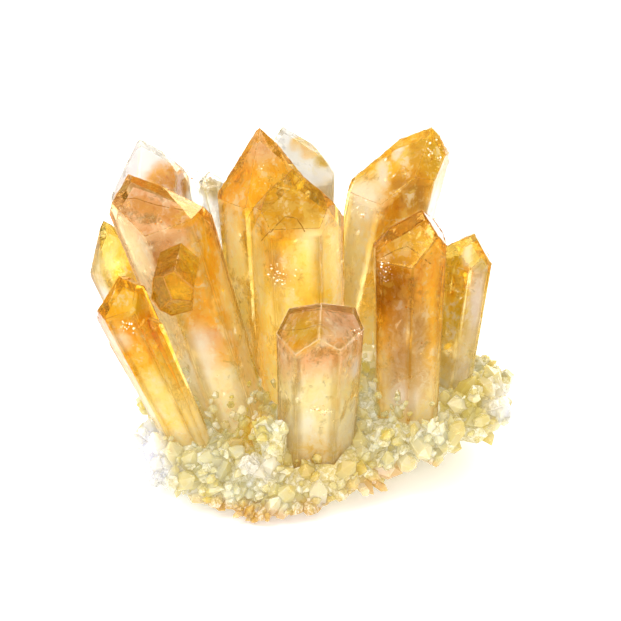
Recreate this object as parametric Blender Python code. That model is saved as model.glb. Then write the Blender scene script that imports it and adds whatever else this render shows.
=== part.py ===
"""Citrine cluster: tall quartz points standing on a druse of small crystals.

Millimetres below, metres in the model. +Z is up, +X is the long side of the
cluster, -Y is its front. The origin is on the flat underside that it rests on.
"""
import math
import random
from collections import namedtuple

import bmesh
import bpy
from mathutils import Matrix, Vector, noise
from mathutils.bvhtree import BVHTree

MM = 0.001
GAP = 0.3                   # clearance between a crystal and its socket
QUARTZ_PITCH = 38.2         # angle between a rhombohedral face and the long axis
SIDES = 6
HALF_SIDE = 180 / SIDES     # degrees from a prism's edge to the middle of its face

# A quartz point. foot and tip are its two ends; offset is how far the tip stands to
# the right of the long axis; across is the width over two opposite edges; depth
# squeezes it front to back; roll turns it on its axis; pitch is the angle between
# its point faces and the axis; taper is the foot's width over the shoulder's.
# point_faces raises every face of the point: three large ones meet at the tip.
Point = namedtuple("Point", "foot tip offset across depth roll pitch taper point_faces")
THREE_LARGE = (0, -4, 0, -4, 0, -4)
SIX_ALIKE = (0, -1.2, 0, -1.2, 0, -1.2)
LEFT_SHOULDER = (0, 0, -4.1, 0, 0, -1.2)
BLUNT = (0, -1.2, -2.5, -1.2, 0, -2.5)

CENTRE_BACK = Point((-9.6, 7, 5), (-11.6, 6, 68.6), 0.6, 19.5, 0.95, 8, 30, 0.8, BLUNT)
CENTRE_FRONT = Point((-3.4, -1.5, 5), (-5.7, 0, 62.8), 0, 20.4, 0.92, 0, 38, 0.8, THREE_LARGE)
LEFT_MAIN = Point((-15, -10, 5), (-37, -10, 65), -3.7, 20.4, 0.9, 12, 38, 0.67, THREE_LARGE)
LEFT_DARK = Point((-27, -12, 49.5), (-28.2, -27.5, 46.4), 0, 8.6, 1.25, 20, 66, 0.95, SIX_ALIKE)
BACK_LEFT = Point((-26, 17, 5), (-36.2, 21, 61.8), 1, 18.6, 0.95, 12, 34, 0.7, BLUNT)
BACK_SMALL = Point((-13.5, 24, 5), (-23.5, 27, 53.4), 0, 6.8, 0.9, 0, 40, 0.7, THREE_LARGE)
BACK_SLIM = Point((-14.5, 25.5, 5), (-27.5, 29, 53.5), 0, 4.5, 0.9, 0, 44, 0.7, SIX_ALIKE)
BACK_CENTRE = Point((-4, 22.5, 5), (-8, 27, 63.1), -3.6, 18.5, 0.9, 30, 38, 0.72, THREE_LARGE)
RIGHT_BACK = Point((5.5, 13, 6), (22.3, 19, 65.4), 4.8, 22, 0.9, 15, 36, 0.74, LEFT_SHOULDER)
RIGHT_FRONT = Point((16.7, -7, 9), (19.2, -7, 56.8), 2.2, 16.8, 0.9, -30, 38, 0.84, THREE_LARGE)
FAR_RIGHT = Point((25.2, 2.5, 8.5), (30.2, 3, 48.4), 0.8, 12.0, 0.9, -30, 37, 0.76, THREE_LARGE)
FRONT = Point((-1.2, -17, 7.5), (-0.3, -22, 43.4), 0, 20, 0.85, 60, 50, 0.84, THREE_LARGE)
FAR_LEFT = Point((-26.5, 3, 5), (-43.7, 6, 50.1), 0, 15.5, 0.9, 0, 30, 0.68, SIX_ALIKE)
LOWER_LEFT = Point((-25, -16.5, 9), (-38.2, -24, 49.5), 2.2, 12, 0.9, 0, 40, 0.75, THREE_LARGE)
LOWER_SLIM = Point((-22.5, -19, 10), (-32.7, -27, 42.2), 0, 4.5, 1, 0, 45, 0.8, SIX_ALIKE)
REAR_LEFT = Point((-19, 27, 5), (-25, 36, 32), 0, 8.5, 0.9, 10, 38, 0.8, THREE_LARGE)
REAR_CENTRE = Point((7, 26, 5), (11, 34, 38), 0, 10, 0.9, 20, 38, 0.8, THREE_LARGE)
REAR_RIGHT = Point((18, 18, 6), (31, 26, 33), 0, 9, 0.9, 5, 38, 0.8, SIX_ALIKE)
REAR_FAR_LEFT = Point((-33, 9.5, 6), (-43, 15, 24), 0, 6.5, 0.9, 5, 38, 0.8, SIX_ALIKE)

# Each node is one point or a few that have grown into each other.
CRYSTALS = {
    "centre_crystals": (CENTRE_BACK, CENTRE_FRONT),
    "left_crystals": (LEFT_MAIN, LEFT_DARK),
    "back_left_crystal": (BACK_LEFT,),
    "back_small_crystals": (BACK_SMALL, BACK_SLIM),
    "back_centre_crystal": (BACK_CENTRE,),
    "right_back_crystal": (RIGHT_BACK,),
    "right_front_crystal": (RIGHT_FRONT,),
    "far_right_crystal": (FAR_RIGHT,),
    "front_crystal": (FRONT,),
    "far_left_crystal": (FAR_LEFT,),
    "lower_left_crystals": (LOWER_LEFT, LOWER_SLIM),
    "rear_left_crystal": (REAR_LEFT,),
    "rear_centre_crystal": (REAR_CENTRE,),
    "rear_right_crystal": (REAR_RIGHT,),
    "rear_far_left_crystal": (REAR_FAR_LEFT,),
}

# Lumps of the druse: centre and half-sizes.
LUMPS = (
    ((-5, 3, 5), (25, 23, 12)),
    ((17, 4, 10.5), (19.5, 15, 7.5)),
    ((9, -3, 11), (11, 9, 9)),
    ((-22, -9, 7), (11, 11, 6)),
    ((-25, -15, 8.5), (9, 8.5, 7)),
    ((-9, -19, 6), (15, 8, 5.5)),
    ((-2, -18.5, 8), (12, 7.8, 6)),
    ((15, -10, 10), (11, 8.5, 5)),
    ((19, 17, 9), (11, 9, 5.5)),
    ((-23, 12, 7), (12, 12, 7)),
    ((-25, 17, 8), (10, 10, 6.5)),
    ((-12, 22, 7), (13, 10, 7)),
    ((-18, 26, 7.5), (8, 7, 5.5)),
    ((8, 22, 7), (16, 10, 7)),
)
LUMP_ROUGHNESS = 1.3
LUMP_DETAIL = 2
BROAD_BUMPS = 6.0           # widths of the bumps on a lump
FINE_BUMPS = 2.5
GROUND_CUT = (200, 200, 20)  # the block that cuts the druse flat underneath

# Small points of the druse that stand out from the rest at its rim.
RIM_POINTS = (
    ((30, 3, 9.5), (39, 2, 12.3), 5),
    ((26, -8, 10.5), (33, -11.5, 10.8), 4.5),
    ((-9, -23, 10), (-9.3, -26, 20.5), 5),
    ((-29, -4, 8), (-36.3, -6, 9.5), 4.5),
    ((-29, -13, 7), (-34.5, -18, 6), 5),
    ((-14.5, -21, 8), (-14, -28.5, 13), 4.6),
    ((13, -13, 10), (15, -20, 15), 4.4),
    ((8, 30, 7), (10, 38, 11), 4.6),
    ((-22, 20, 7), (-30, 28, 11), 4.6),
)
# Shape of the small points.
SMALL_DEPTH = 0.9
SMALL_ROLL = 10
SMALL_TAPER = 0.85

# A fan of small points under the front edge: their tips lie along an ellipse
# that climbs towards both ends and are a little uneven in reach and height.
FAN_CENTRE = (-10, -4, 2.4)
FAN_REACH = (24, 26.5)
FAN_CLIMB = 3.4
FAN_POINTS = 13
FAN_START = -142
FAN_STEP = 8
FAN_LENGTH = 7
FAN_ACROSS = 3.4
FAN_DROOP = -0.3            # how far each point hangs down, per unit outward
UNEVEN_REACH = 0.035
UNEVEN_RISE = 0.5

# Small points scattered over the rest of the druse.
DRUSE_POINTS = 168
DRUSE_SEED = 8
DRUSE_TRIES = 20000
DRUSE_ACROSS = (2.0, 3.8)
DRUSE_LENGTH = (4.0, 8.5)
DRUSE_DEPTH = (0.75, 1.0)
DRUSE_SINK = 2.0            # how deep each small point is rooted
DRUSE_SPACING = 2.4
DRUSE_CLEARANCE = 0.5       # kept between a small point and a tall one
LOWEST_RISE = -0.25         # a ray's slope is drawn between this and straight up
RAY_START_X = (-14, 14)     # rays start in this patch, inside the lumps
RAY_START_Y = (-8, 10)
RAY_START_Z = 7
RAY_REACH = 80
RAY_LEAN = 0.4              # each point leans outward along its ray,
UP_LEAN = 0.25              # upward,
CHANCE_LEAN = 0.35          # and by chance

# The rim that the small points stay within.
RIM_CENTRE_X = 1
RIM_HALF_LENGTH = 38.3
RIM_FRONT = -29
RIM_FRONT_SLOPE = 0.45      # the front edge runs back towards the right-hand end,
RIM_FLOOR = 0.6             # and the underside climbs from RIM_CLIMB_START on
RIM_CLIMB = 0.26
RIM_CLIMB_START = 4


def collection(name):
    """A new collection in the scene."""
    made = bpy.data.collections.new(name)
    bpy.context.scene.collection.children.link(made)
    return made


def add_object(name, bm, into):
    """An object from a bmesh, which is used up."""
    mesh = bpy.data.meshes.new(name)
    bm.to_mesh(mesh)
    bm.free()
    made = bpy.data.objects.new(name, mesh)
    into.objects.link(made)
    return made


def hide_cutter(obj):
    """Leave an object out of the model: it only shapes another one."""
    obj.hide_render = True
    obj.display_type = "WIRE"


def boolean(obj, operation, other):
    """Join or cut an object with another object or a collection of them."""
    modifier = obj.modifiers.new(operation.title(), "BOOLEAN")
    modifier.operation = operation
    modifier.solver = "EXACT"
    if isinstance(other, bpy.types.Collection):
        modifier.operand_type = "COLLECTION"
        modifier.collection = other
    else:
        modifier.object = other


def quartz_material(name, colour, roughness):
    """A Principled material of a crystal or of the druse."""
    made = bpy.data.materials.new(name)
    made.use_nodes = True
    shader = made.node_tree.nodes["Principled BSDF"]
    shader.inputs["Base Color"].default_value = (*colour, 1)
    shader.inputs["Roughness"].default_value = roughness
    shader.inputs["Metallic"].default_value = 0.0
    return made


def axis_end(point):
    """Where the long axis ends, level with the tip, in millimetres."""
    return Vector(point.tip) - Vector((point.offset, 0, 0))


def axis_frame(point):
    """Matrix that takes a point's own frame to the world, in metres."""
    foot = Vector(point.foot) * MM
    along = (axis_end(point) * MM - foot).normalized()
    right = (Vector((1, 0, 0)) - along * along.x).normalized()
    back = along.cross(right)
    turn = Matrix((right, back, along)).transposed().to_4x4()
    roll = Matrix.Rotation(math.radians(point.roll), 4, "Z")
    return Matrix.Translation(foot) @ turn @ roll


def cut_away(bm, place, normal):
    """Remove what lies beyond a plane and close the cut with a flat face."""
    geometry = bm.verts[:] + bm.edges[:] + bm.faces[:]
    cut = bmesh.ops.bisect_plane(
        bm, geom=geometry, dist=1e-7, plane_co=place, plane_no=normal, clear_outer=True)
    edges = [item for item in cut["geom_cut"] if isinstance(item, bmesh.types.BMEdge)]
    if edges:
        bmesh.ops.edgeloop_fill(bm, edges=edges)


def quartz_point(point, grow=0.0):
    """Six-sided prism cut to a point by six sloping faces; grow thickens it."""
    frame = axis_frame(point)
    tip = frame.inverted() @ (Vector(point.tip) * MM)
    radius = point.across * MM / 2
    grow = grow * MM
    length = tip.z + radius
    bm = bmesh.new()
    bmesh.ops.create_cone(
        bm, cap_ends=True, segments=SIDES, depth=length + grow,
        radius1=radius * point.taper + grow, radius2=radius + grow,
        matrix=Matrix.Translation((0, 0, (length - grow) / 2))
        @ Matrix.Rotation(math.radians(HALF_SIDE), 4, "Z"))
    bmesh.ops.scale(bm, vec=(1, point.depth, 1), verts=bm.verts)
    pitch = math.radians(point.pitch)
    for side, drop in enumerate(point.point_faces):
        angle = math.radians(HALF_SIDE + side * 360 / SIDES)
        outward = Vector((math.cos(angle), math.sin(angle) / point.depth, 0)).normalized()
        normal = outward * math.cos(pitch) + Vector((0, 0, math.sin(pitch)))
        cut_away(bm, tip - Vector((0, 0, drop * MM)) + normal * grow, normal)
    bmesh.ops.transform(bm, matrix=frame, verts=bm.verts)
    bmesh.ops.recalc_face_normals(bm, faces=bm.faces)
    return bm


def tall_crystals(into, cutters):
    """Every tall crystal as an object, with those grown together joined."""
    golden = quartz_material("golden_quartz", (0.78, 0.42, 0.09), 0.08)
    for name, points in CRYSTALS.items():
        crystal = add_object(name, quartz_point(points[0]), into)
        crystal.data.materials.append(golden)
        for number, point in enumerate(points[1:], 1):
            twin = add_object(f"{name}_twin_{number}", quartz_point(point), cutters)
            hide_cutter(twin)
            boolean(crystal, "UNION", twin)


def lump(centre, half_sizes):
    """One rough, rounded lump of the druse."""
    bm = bmesh.new()
    bmesh.ops.create_icosphere(bm, subdivisions=LUMP_DETAIL, radius=1)
    for vert in bm.verts:
        place = Vector(vert.co[i] * half_sizes[i] + centre[i] for i in range(3))
        bump = noise.noise(place / BROAD_BUMPS) + 0.5 * noise.noise(place / FINE_BUMPS)
        place += vert.co * bump * LUMP_ROUGHNESS
        vert.co = place * MM
    return bm


def within_rim(place, margin):
    """True where a small point's end is inside the rim of the druse and above its
    underside, which climbs towards the right-hand end."""
    front_edge = RIM_FRONT + RIM_FRONT_SLOPE * max(0.0, place.x)
    underside = RIM_FLOOR + RIM_CLIMB * max(0.0, place.x - RIM_CLIMB_START)
    return (abs(place.x - RIM_CENTRE_X) < RIM_HALF_LENGTH
            and place.y > front_edge and place.z > underside + margin)


def clear_of_crystals(place, radius):
    """True where a small point stands clear of every tall crystal's axis."""
    for points in CRYSTALS.values():
        for point in points:
            foot = Vector(point.foot)
            axis = axis_end(point) - foot
            along = max(0.0, min(1.0, (place - foot).dot(axis) / axis.length_squared))
            thickness = point.across / 2 * (point.taper + (1 - point.taper) * along)
            if (place - foot - axis * along).length < thickness + radius + DRUSE_CLEARANCE:
                return False
    return True


def rim_point(foot, tip, across):
    """A named small point, given by its own two ends."""
    return Point(foot, tip, 0, across, SMALL_DEPTH, SMALL_ROLL, QUARTZ_PITCH,
                 SMALL_TAPER, SIX_ALIKE)


def front_fan():
    """Small points that hang outward under the front edge, side by side."""
    fan = []
    for number in range(FAN_POINTS):
        turn = math.radians(FAN_START + number * FAN_STEP)
        outward = Vector((math.cos(turn), math.sin(turn), 0))
        reach = 1 + UNEVEN_REACH * math.sin(number * 2.4)
        rise = FAN_CLIMB * outward.x ** 2 + UNEVEN_RISE * math.cos(number * 1.7)
        tip = Vector(FAN_CENTRE) + Vector((
            outward.x * FAN_REACH[0] * reach, outward.y * FAN_REACH[1] * reach, rise))
        along = Vector((outward.x, outward.y, FAN_DROOP)).normalized()
        fan.append(rim_point(tuple(tip - along * FAN_LENGTH), tuple(tip), FAN_ACROSS))
    return fan


def chance_ray(chance):
    """Start, in millimetres, and direction of a ray out through the druse."""
    turn = chance.uniform(0, 2 * math.pi)
    rise = chance.uniform(LOWEST_RISE, 1.0)
    flat = math.sqrt(1 - rise * rise)
    ray = Vector((flat * math.cos(turn), flat * math.sin(turn), rise))
    start = Vector((chance.uniform(*RAY_START_X), chance.uniform(*RAY_START_Y), RAY_START_Z))
    return start, ray


def chance_point(surface, chance):
    """A small point rooted where a chance ray leaves the druse, with the place it
    stands on, or None where there is no room for it."""
    start, ray = chance_ray(chance)
    hit, normal, _, _ = surface.ray_cast((start + ray * RAY_REACH) * MM, -ray)
    if hit is None or not within_rim(hit / MM, 0):
        return None
    across = chance.uniform(*DRUSE_ACROSS)
    length = chance.uniform(*DRUSE_LENGTH)
    lean = Vector([chance.uniform(-CHANCE_LEAN, CHANCE_LEAN) for _ in range(3)])
    along = (normal + ray * RAY_LEAN + Vector((0, 0, UP_LEAN)) + lean).normalized()
    place = hit / MM
    tip = place + along * (length - DRUSE_SINK)
    if not (clear_of_crystals(place, across / 2) and clear_of_crystals(tip, across / 3)):
        return None
    if not within_rim(tip, across / 2):
        return None
    return place, Point(
        tuple(place - along * DRUSE_SINK), tuple(tip), 0, across,
        chance.uniform(*DRUSE_DEPTH), chance.uniform(0, 360 / SIDES), QUARTZ_PITCH,
        SMALL_TAPER, SIX_ALIKE)


def druse_points(surface):
    """The small points of the druse: the named ones first, then others by chance."""
    chance = random.Random(DRUSE_SEED)
    standing_out = [rim_point(*ends) for ends in RIM_POINTS] + front_fan()
    placed = [(axis_end(point), point) for point in standing_out]
    for _ in range(DRUSE_TRIES):
        if len(placed) == DRUSE_POINTS:
            break
        found = chance_point(surface, chance)
        if found and all((found[0] - other[0]).length >= DRUSE_SPACING for other in placed):
            placed.append(found)
    return [point for _, point in placed]


def surface_of(obj):
    """What rays can hit: the object's mesh with its modifiers applied."""
    bpy.context.view_layer.update()
    evaluated = obj.evaluated_get(bpy.context.evaluated_depsgraph_get())
    return BVHTree.FromPolygons(
        [vert.co.copy() for vert in evaluated.data.vertices],
        [tuple(face.vertices) for face in evaluated.data.polygons])


def ground_cutter(cutters):
    """A block with its top at z = 0."""
    bm = bmesh.new()
    bmesh.ops.create_cube(bm, size=1)
    bmesh.ops.scale(bm, vec=Vector(GROUND_CUT) * MM, verts=bm.verts)
    bmesh.ops.translate(bm, vec=(0, 0, -GROUND_CUT[2] / 2 * MM), verts=bm.verts)
    block = add_object("ground_cut", bm, cutters)
    hide_cutter(block)
    return block


def druse_base(into, cutters):
    """The druse: joined lumps with small points on them, cut flat underneath,
    with a socket for each tall crystal."""
    base = add_object("druse_base", lump(*LUMPS[0]), into)
    base.data.materials.append(quartz_material("milky_druse", (0.86, 0.78, 0.55), 0.35))
    lumps = collection("druse_lumps")
    for number, (centre, half_sizes) in enumerate(LUMPS[1:], 1):
        hide_cutter(add_object(f"lump_{number}", lump(centre, half_sizes), lumps))
    boolean(base, "UNION", lumps)

    small = collection("druse_points")
    for number, point in enumerate(druse_points(surface_of(base))):
        hide_cutter(add_object(f"druse_point_{number}", quartz_point(point), small))
    boolean(base, "UNION", small)
    boolean(base, "DIFFERENCE", ground_cutter(cutters))

    sockets = collection("sockets")
    for name, points in CRYSTALS.items():
        for number, point in enumerate(points):
            solid = quartz_point(point, grow=GAP)
            hide_cutter(add_object(f"{name}_socket_{number}", solid, sockets))
    boolean(base, "DIFFERENCE", sockets)


def main():
    for old in list(bpy.data.objects):
        bpy.data.objects.remove(old, do_unlink=True)
    parts = collection("citrine_cluster")
    cutters = collection("cutters")
    tall_crystals(parts, cutters)
    druse_base(parts, cutters)


main()
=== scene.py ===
"""Citrine cluster: the dressed model, its floor, its light and its camera."""
import math
import random
from bisect import bisect
from collections import namedtuple
from itertools import product

import bmesh
import bpy
from mathutils import Matrix, Vector, noise
from mathutils.bvhtree import BVHTree

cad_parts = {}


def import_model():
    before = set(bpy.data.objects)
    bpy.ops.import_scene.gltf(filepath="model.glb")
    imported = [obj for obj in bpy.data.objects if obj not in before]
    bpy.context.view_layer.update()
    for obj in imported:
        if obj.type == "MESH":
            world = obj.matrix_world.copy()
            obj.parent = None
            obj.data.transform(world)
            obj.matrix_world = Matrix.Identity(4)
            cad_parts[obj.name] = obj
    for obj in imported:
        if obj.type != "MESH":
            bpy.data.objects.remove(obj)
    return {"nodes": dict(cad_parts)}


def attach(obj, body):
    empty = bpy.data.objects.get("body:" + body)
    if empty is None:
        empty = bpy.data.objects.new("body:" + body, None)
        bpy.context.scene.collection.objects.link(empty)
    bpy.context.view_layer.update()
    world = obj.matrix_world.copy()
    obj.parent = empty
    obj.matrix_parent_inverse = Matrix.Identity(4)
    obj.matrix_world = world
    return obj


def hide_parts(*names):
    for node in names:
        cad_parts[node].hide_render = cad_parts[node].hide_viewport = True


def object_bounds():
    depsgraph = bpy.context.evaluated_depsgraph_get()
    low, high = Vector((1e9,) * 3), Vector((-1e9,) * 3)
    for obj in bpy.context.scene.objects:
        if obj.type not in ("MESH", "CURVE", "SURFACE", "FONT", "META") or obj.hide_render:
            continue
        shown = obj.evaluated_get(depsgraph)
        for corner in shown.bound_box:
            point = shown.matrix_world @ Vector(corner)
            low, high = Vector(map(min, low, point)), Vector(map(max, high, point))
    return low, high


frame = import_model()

CAD_BOX = [list(corner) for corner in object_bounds()]

MM = 0.001
IOR_QUARTZ = 1.544
SIDES = 6
SMOOTH_BELOW = math.radians(14)
# An edge within 16 degrees of a point's axis runs along it, and one 5 mm up isn't its foot's.
ALONG, CAP_ABOVE = 0.96, 5 * MM
# Growth steps on each face, and how high each is in mm.
STEPS, STEP_HIGH = 400, 0.55

# The camera: sensor width in mm, focal length and frame width in pixels, the place looked at
# in mm, its tilt in degrees and its distance in metres.
SENSOR, FOCAL_PIXELS, PHOTO_PIXELS = 36, 2250, 621
LOOKED_AT, CAMERA_TILT, CAMERA_FAR = (-2.3, 0, 33), 22, 0.45

# The tall points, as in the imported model: foot and tip are their ends and across their width,
# in millimetres; depth and taper are shares of it; point_faces are the drops of the cap's six
# faces, by default three large ones and three small ones.
Point = namedtuple("Point", "foot tip offset across depth roll pitch taper point_faces",
                   defaults=((0, -4, 0, -4, 0, -4),))
SIX_ALIKE = (0, -1.2, 0, -1.2, 0, -1.2)
LEFT_SHOULDER = (0, 0, -4.1, 0, 0, -1.2)
BLUNT = (0, -1.2, -2.5, -1.2, 0, -2.5)
POINTS = {
    "centre_back": Point((-9.6, 7, 5), (-11.6, 6, 68.6), 0.6, 19.5, 0.95, 8, 30, 0.8, BLUNT),
    "centre_front": Point((-3.4, -1.5, 5), (-5.7, 0, 62.8), 0, 20.4, 0.92, 0, 38, 0.8),
    "left_main": Point((-15, -10, 5), (-37, -10, 65), -3.7, 20.4, 0.9, 12, 38, 0.67),
    "left_dark": Point(
        (-27, -12, 49.5), (-28.2, -27.5, 46.4), 0, 8.6, 1.25, 20, 66, 0.95, SIX_ALIKE),
    "back_left": Point((-26, 17, 5), (-36.2, 21, 61.8), 1, 18.6, 0.95, 12, 34, 0.7, BLUNT),
    "back_small": Point((-13.5, 24, 5), (-23.5, 27, 53.4), 0, 6.8, 0.9, 0, 40, 0.7),
    "back_centre": Point((-4, 22.5, 5), (-8, 27, 63.1), -3.6, 18.5, 0.9, 30, 38, 0.72),
    "right_back": Point((5.5, 13, 6), (22.3, 19, 65.4), 4.8, 22, 0.9, 15, 36, 0.74, LEFT_SHOULDER),
    "right_front": Point((16.7, -7, 9), (19.2, -7, 56.8), 2.2, 16.8, 0.9, -30, 38, 0.84),
    "far_right": Point((25.2, 2.5, 8.5), (30.2, 3, 48.4), 0.8, 12.0, 0.9, -30, 37, 0.76),
    "front": Point((-1.2, -17, 7.5), (-0.3, -22, 43.4), 0, 20, 0.85, 60, 50, 0.84),
    "far_left": Point((-26.5, 3, 5), (-43.7, 6, 50.1), 0, 15.5, 0.9, 0, 30, 0.68, SIX_ALIKE),
    "lower_left": Point((-25, -16.5, 9), (-38.2, -24, 49.5), 2.2, 12, 0.9, 0, 40, 0.75),
    "rear_left": Point((-19, 27, 5), (-25, 36, 32), 0, 8.5, 0.9, 10, 38, 0.8),
    "rear_centre": Point((7, 26, 5), (11, 34, 38), 0, 10, 0.9, 20, 38, 0.8),
    "rear_right": Point((18, 18, 6), (31, 26, 33), 0, 9, 0.9, 5, 38, 0.8, SIX_ALIKE),
    "rear_far_left": Point((-33, 9.5, 6), (-43, 15, 24), 0, 6.5, 0.9, 5, 38, 0.8, SIX_ALIKE),
}
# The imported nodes, and the point whose axis each one's surface is drawn along.
GROWN_TOGETHER = {"centre_front": "centre_crystals", "left_main": "left_crystals",
                  "back_small": "back_small_crystals", "lower_left": "lower_left_crystals"}
NODE_POINT = {GROWN_TOGETHER.get(key, key + "_crystal"): key for key in POINTS
              if key not in ("centre_back", "left_dark")}

WHITE = (0.97, 0.95, 0.88)
ICE = (0.95, 0.94, 0.93)
CREAM = (0.98, 0.89, 0.56)
PALE = (0.98, 0.83, 0.34)
YELLOW = (1.0, 0.73, 0.10)
GOLD = (0.96, 0.56, 0.02)
ORANGE = (0.90, 0.43, 0.01)
AMBER = (0.66, 0.29, 0.005)
BURNT = (0.42, 0.17, 0.003)
PINK = (0.86, 0.53, 0.31)
ROSE = (0.82, 0.42, 0.23)
MAUVE = (0.70, 0.46, 0.30)
OLIVE = (0.66, 0.50, 0.12)
LAVENDER = (0.88, 0.84, 0.88)
SHEEN = (1.0, 0.86, 0.2)
HARVEST = (0.72, 0.49, 0.04)
UMBER = (0.56, 0.34, 0.17)
UMBER_GOLD = (0.42, 0.22, 0.008)
BLUSH = (0.84, 0.53, 0.34)
ROSE_GREY = (0.84, 0.74, 0.72)
IN_DEPTH = (0.98, 0.79, 0.12)


def paler(colour, share):
    """A colour taken part of the way to white."""
    return tuple(part + (1 - part) * share for part in colour)


# ---------------------------------------------------------------- shaders

class Graph:
    """Builds a material's nodes; an input may be a socket or a plain value."""

    def __init__(self, name):
        self.material = bpy.data.materials.new(name)
        self.material.use_nodes = True
        self.material.cycles.emission_sampling = "NONE"
        self.tree = self.material.node_tree
        self.shader = self.tree.nodes["Principled BSDF"]
        self.output = self.tree.nodes["Material Output"]

    def put(self, socket, value):
        if isinstance(value, bpy.types.NodeSocket):
            self.tree.links.new(value, socket)
        elif isinstance(value, (tuple, list)) and len(value) == 3 and socket.type == "RGBA":
            socket.default_value = (*value, 1)
        else:
            socket.default_value = value

    def give(self, name, value):
        """Set or link one of the shader's own inputs."""
        self.put(self.shader.inputs[name], value)

    def emit(self, colour, strength):
        self.give("Emission Color", colour)
        self.give("Emission Strength", strength)

    def attribute(self, name):
        return self.node("ShaderNodeAttribute", attribute_name=name).outputs["Fac"]

    def node(self, kind, inputs=(), **settings):
        """A node with its settings; inputs are given by name or number."""
        made = self.tree.nodes.new(kind)
        for key, value in settings.items():
            setattr(made, key, value)
        for key, value in dict(inputs).items():
            self.put(made.inputs[key], value)
        return made

    def math(self, operation, a, b=0.0, clamp=False):
        return self.node("ShaderNodeMath", {0: a, 1: b}, operation=operation,
                         use_clamp=clamp).outputs[0]

    def times(self, a, b):
        return self.math("MULTIPLY", a, b)

    def vector(self, operation, a, b=(0, 0, 0)):
        made = self.node("ShaderNodeVectorMath", {0: a, "Scale" if operation == "SCALE" else 1: b},
                         operation=operation)
        return made.outputs["Value" if operation in ("DOT_PRODUCT", "LENGTH") else "Vector"]

    def noise(self, place, scale, detail=3.0, rough=0.55, output="Fac"):
        return self.node("ShaderNodeTexNoise", {
            "Vector": place, "Scale": scale, "Detail": detail, "Roughness": rough,
        }).outputs[output]

    def span(self, value, low, high, to_low=0.0, to_high=1.0):
        """The value's place between low and high, smoothed, on the scale of the last two."""
        return self.node("ShaderNodeMapRange", enumerate((value, low, high, to_low, to_high)),
                         interpolation_type="SMOOTHSTEP").outputs[0]

    def ramp(self, factor, stops):
        made = self.node("ShaderNodeValToRGB", {0: factor})
        elements = made.color_ramp.elements
        while len(elements) < len(stops):
            elements.new(0.5)
        for element, (place, colour) in zip(elements, stops):
            element.position = place
            element.color = (*colour, 1)
        return made.outputs[0]

    def mix(self, factor, a, b, blend="MIX"):
        return self.node("ShaderNodeMix", {0: factor, 6: a, 7: b}, data_type="RGBA",
                         blend_type=blend).outputs[2]

    def lighten(self, colour, power):
        return self.node("ShaderNodeGamma", {"Color": colour, "Gamma": power}).outputs[0]

    def place(self, wobble=0.0, scale=0.2):
        """The place on the piece in millimetres, wandering by up to wobble."""
        where = self.vector("SCALE", self.node("ShaderNodeTexCoord").outputs["Object"], 1000.0)
        if not wobble:
            return where
        drift = self.vector(
            "SUBTRACT", self.noise(where, scale, output="Color"), (0.5, 0.5, 0.5))
        return self.vector("ADD", where, self.vector("SCALE", drift, wobble * 2))

    def along(self, place, point):
        """From 0 at a point's foot to 1 at its tip."""
        foot = Vector(point.foot)
        axis = Vector(point.tip) - foot
        offset = self.vector("SUBTRACT", place, tuple(foot))
        return self.vector("DOT_PRODUCT", offset, tuple(axis / axis.length_squared))

    def blob(self, place, centre, radii, soft=0.5):
        """1 inside an ellipsoid, 0 outside, with a soft edge."""
        shrunk = self.vector("DIVIDE", self.vector("SUBTRACT", place, centre), radii)
        return self.span(self.vector("LENGTH", shrunk), 1 + soft, 1 - soft)

    def bump(self, height, distance, strength, under=None):
        inputs = {"Strength": strength, "Distance": distance, "Height": height}
        if under is not None:
            inputs["Normal"] = under
        return self.node("ShaderNodeBump", inputs).outputs[0]


def axis_rotation(point):
    """Rotation that turns a point's own axes, with its long axis as Z, to the world's."""
    foot = Vector(point.foot)
    along = (Vector(point.tip) - Vector((point.offset, 0, 0)) - foot).normalized()
    right = (Vector((1, 0, 0)) - along * along.x).normalized()
    return Matrix((right, along.cross(right), along)).transposed()


def above_foot(point):
    """A function that gives how far up a point's axis a place is, in metres."""
    foot, axis = Vector(point.foot) * MM, axis_rotation(point).col[2]
    return lambda place: (place - foot).dot(axis)


def striated_place(graph, place, point, across, along):
    """Place in the point's own axes, stretched so that noise runs in bands across it."""
    turned = graph.node("ShaderNodeMapping", {
        "Vector": place, "Rotation": axis_rotation(point).inverted().to_euler()})
    return graph.vector("MULTIPLY", turned.outputs[0], (across, across, along))


def quartz_colour(g, point, look, where, drift):
    """Colour in a crystal: along its axis, straying by drift, and in patches."""
    height = g.along(where, point)
    stray = g.math("SUBTRACT", g.noise(where, 0.16, 3.0, 0.6), 0.5)
    height = g.math("ADD", height, g.times(stray, drift))
    colour = g.ramp(height, look.stops)
    for centre, radii, patch, strength, *soft in look.patches:
        mask = g.times(g.blob(where, centre, radii, *soft), strength)
        colour = g.mix(mask, colour, patch)
    return colour


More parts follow.
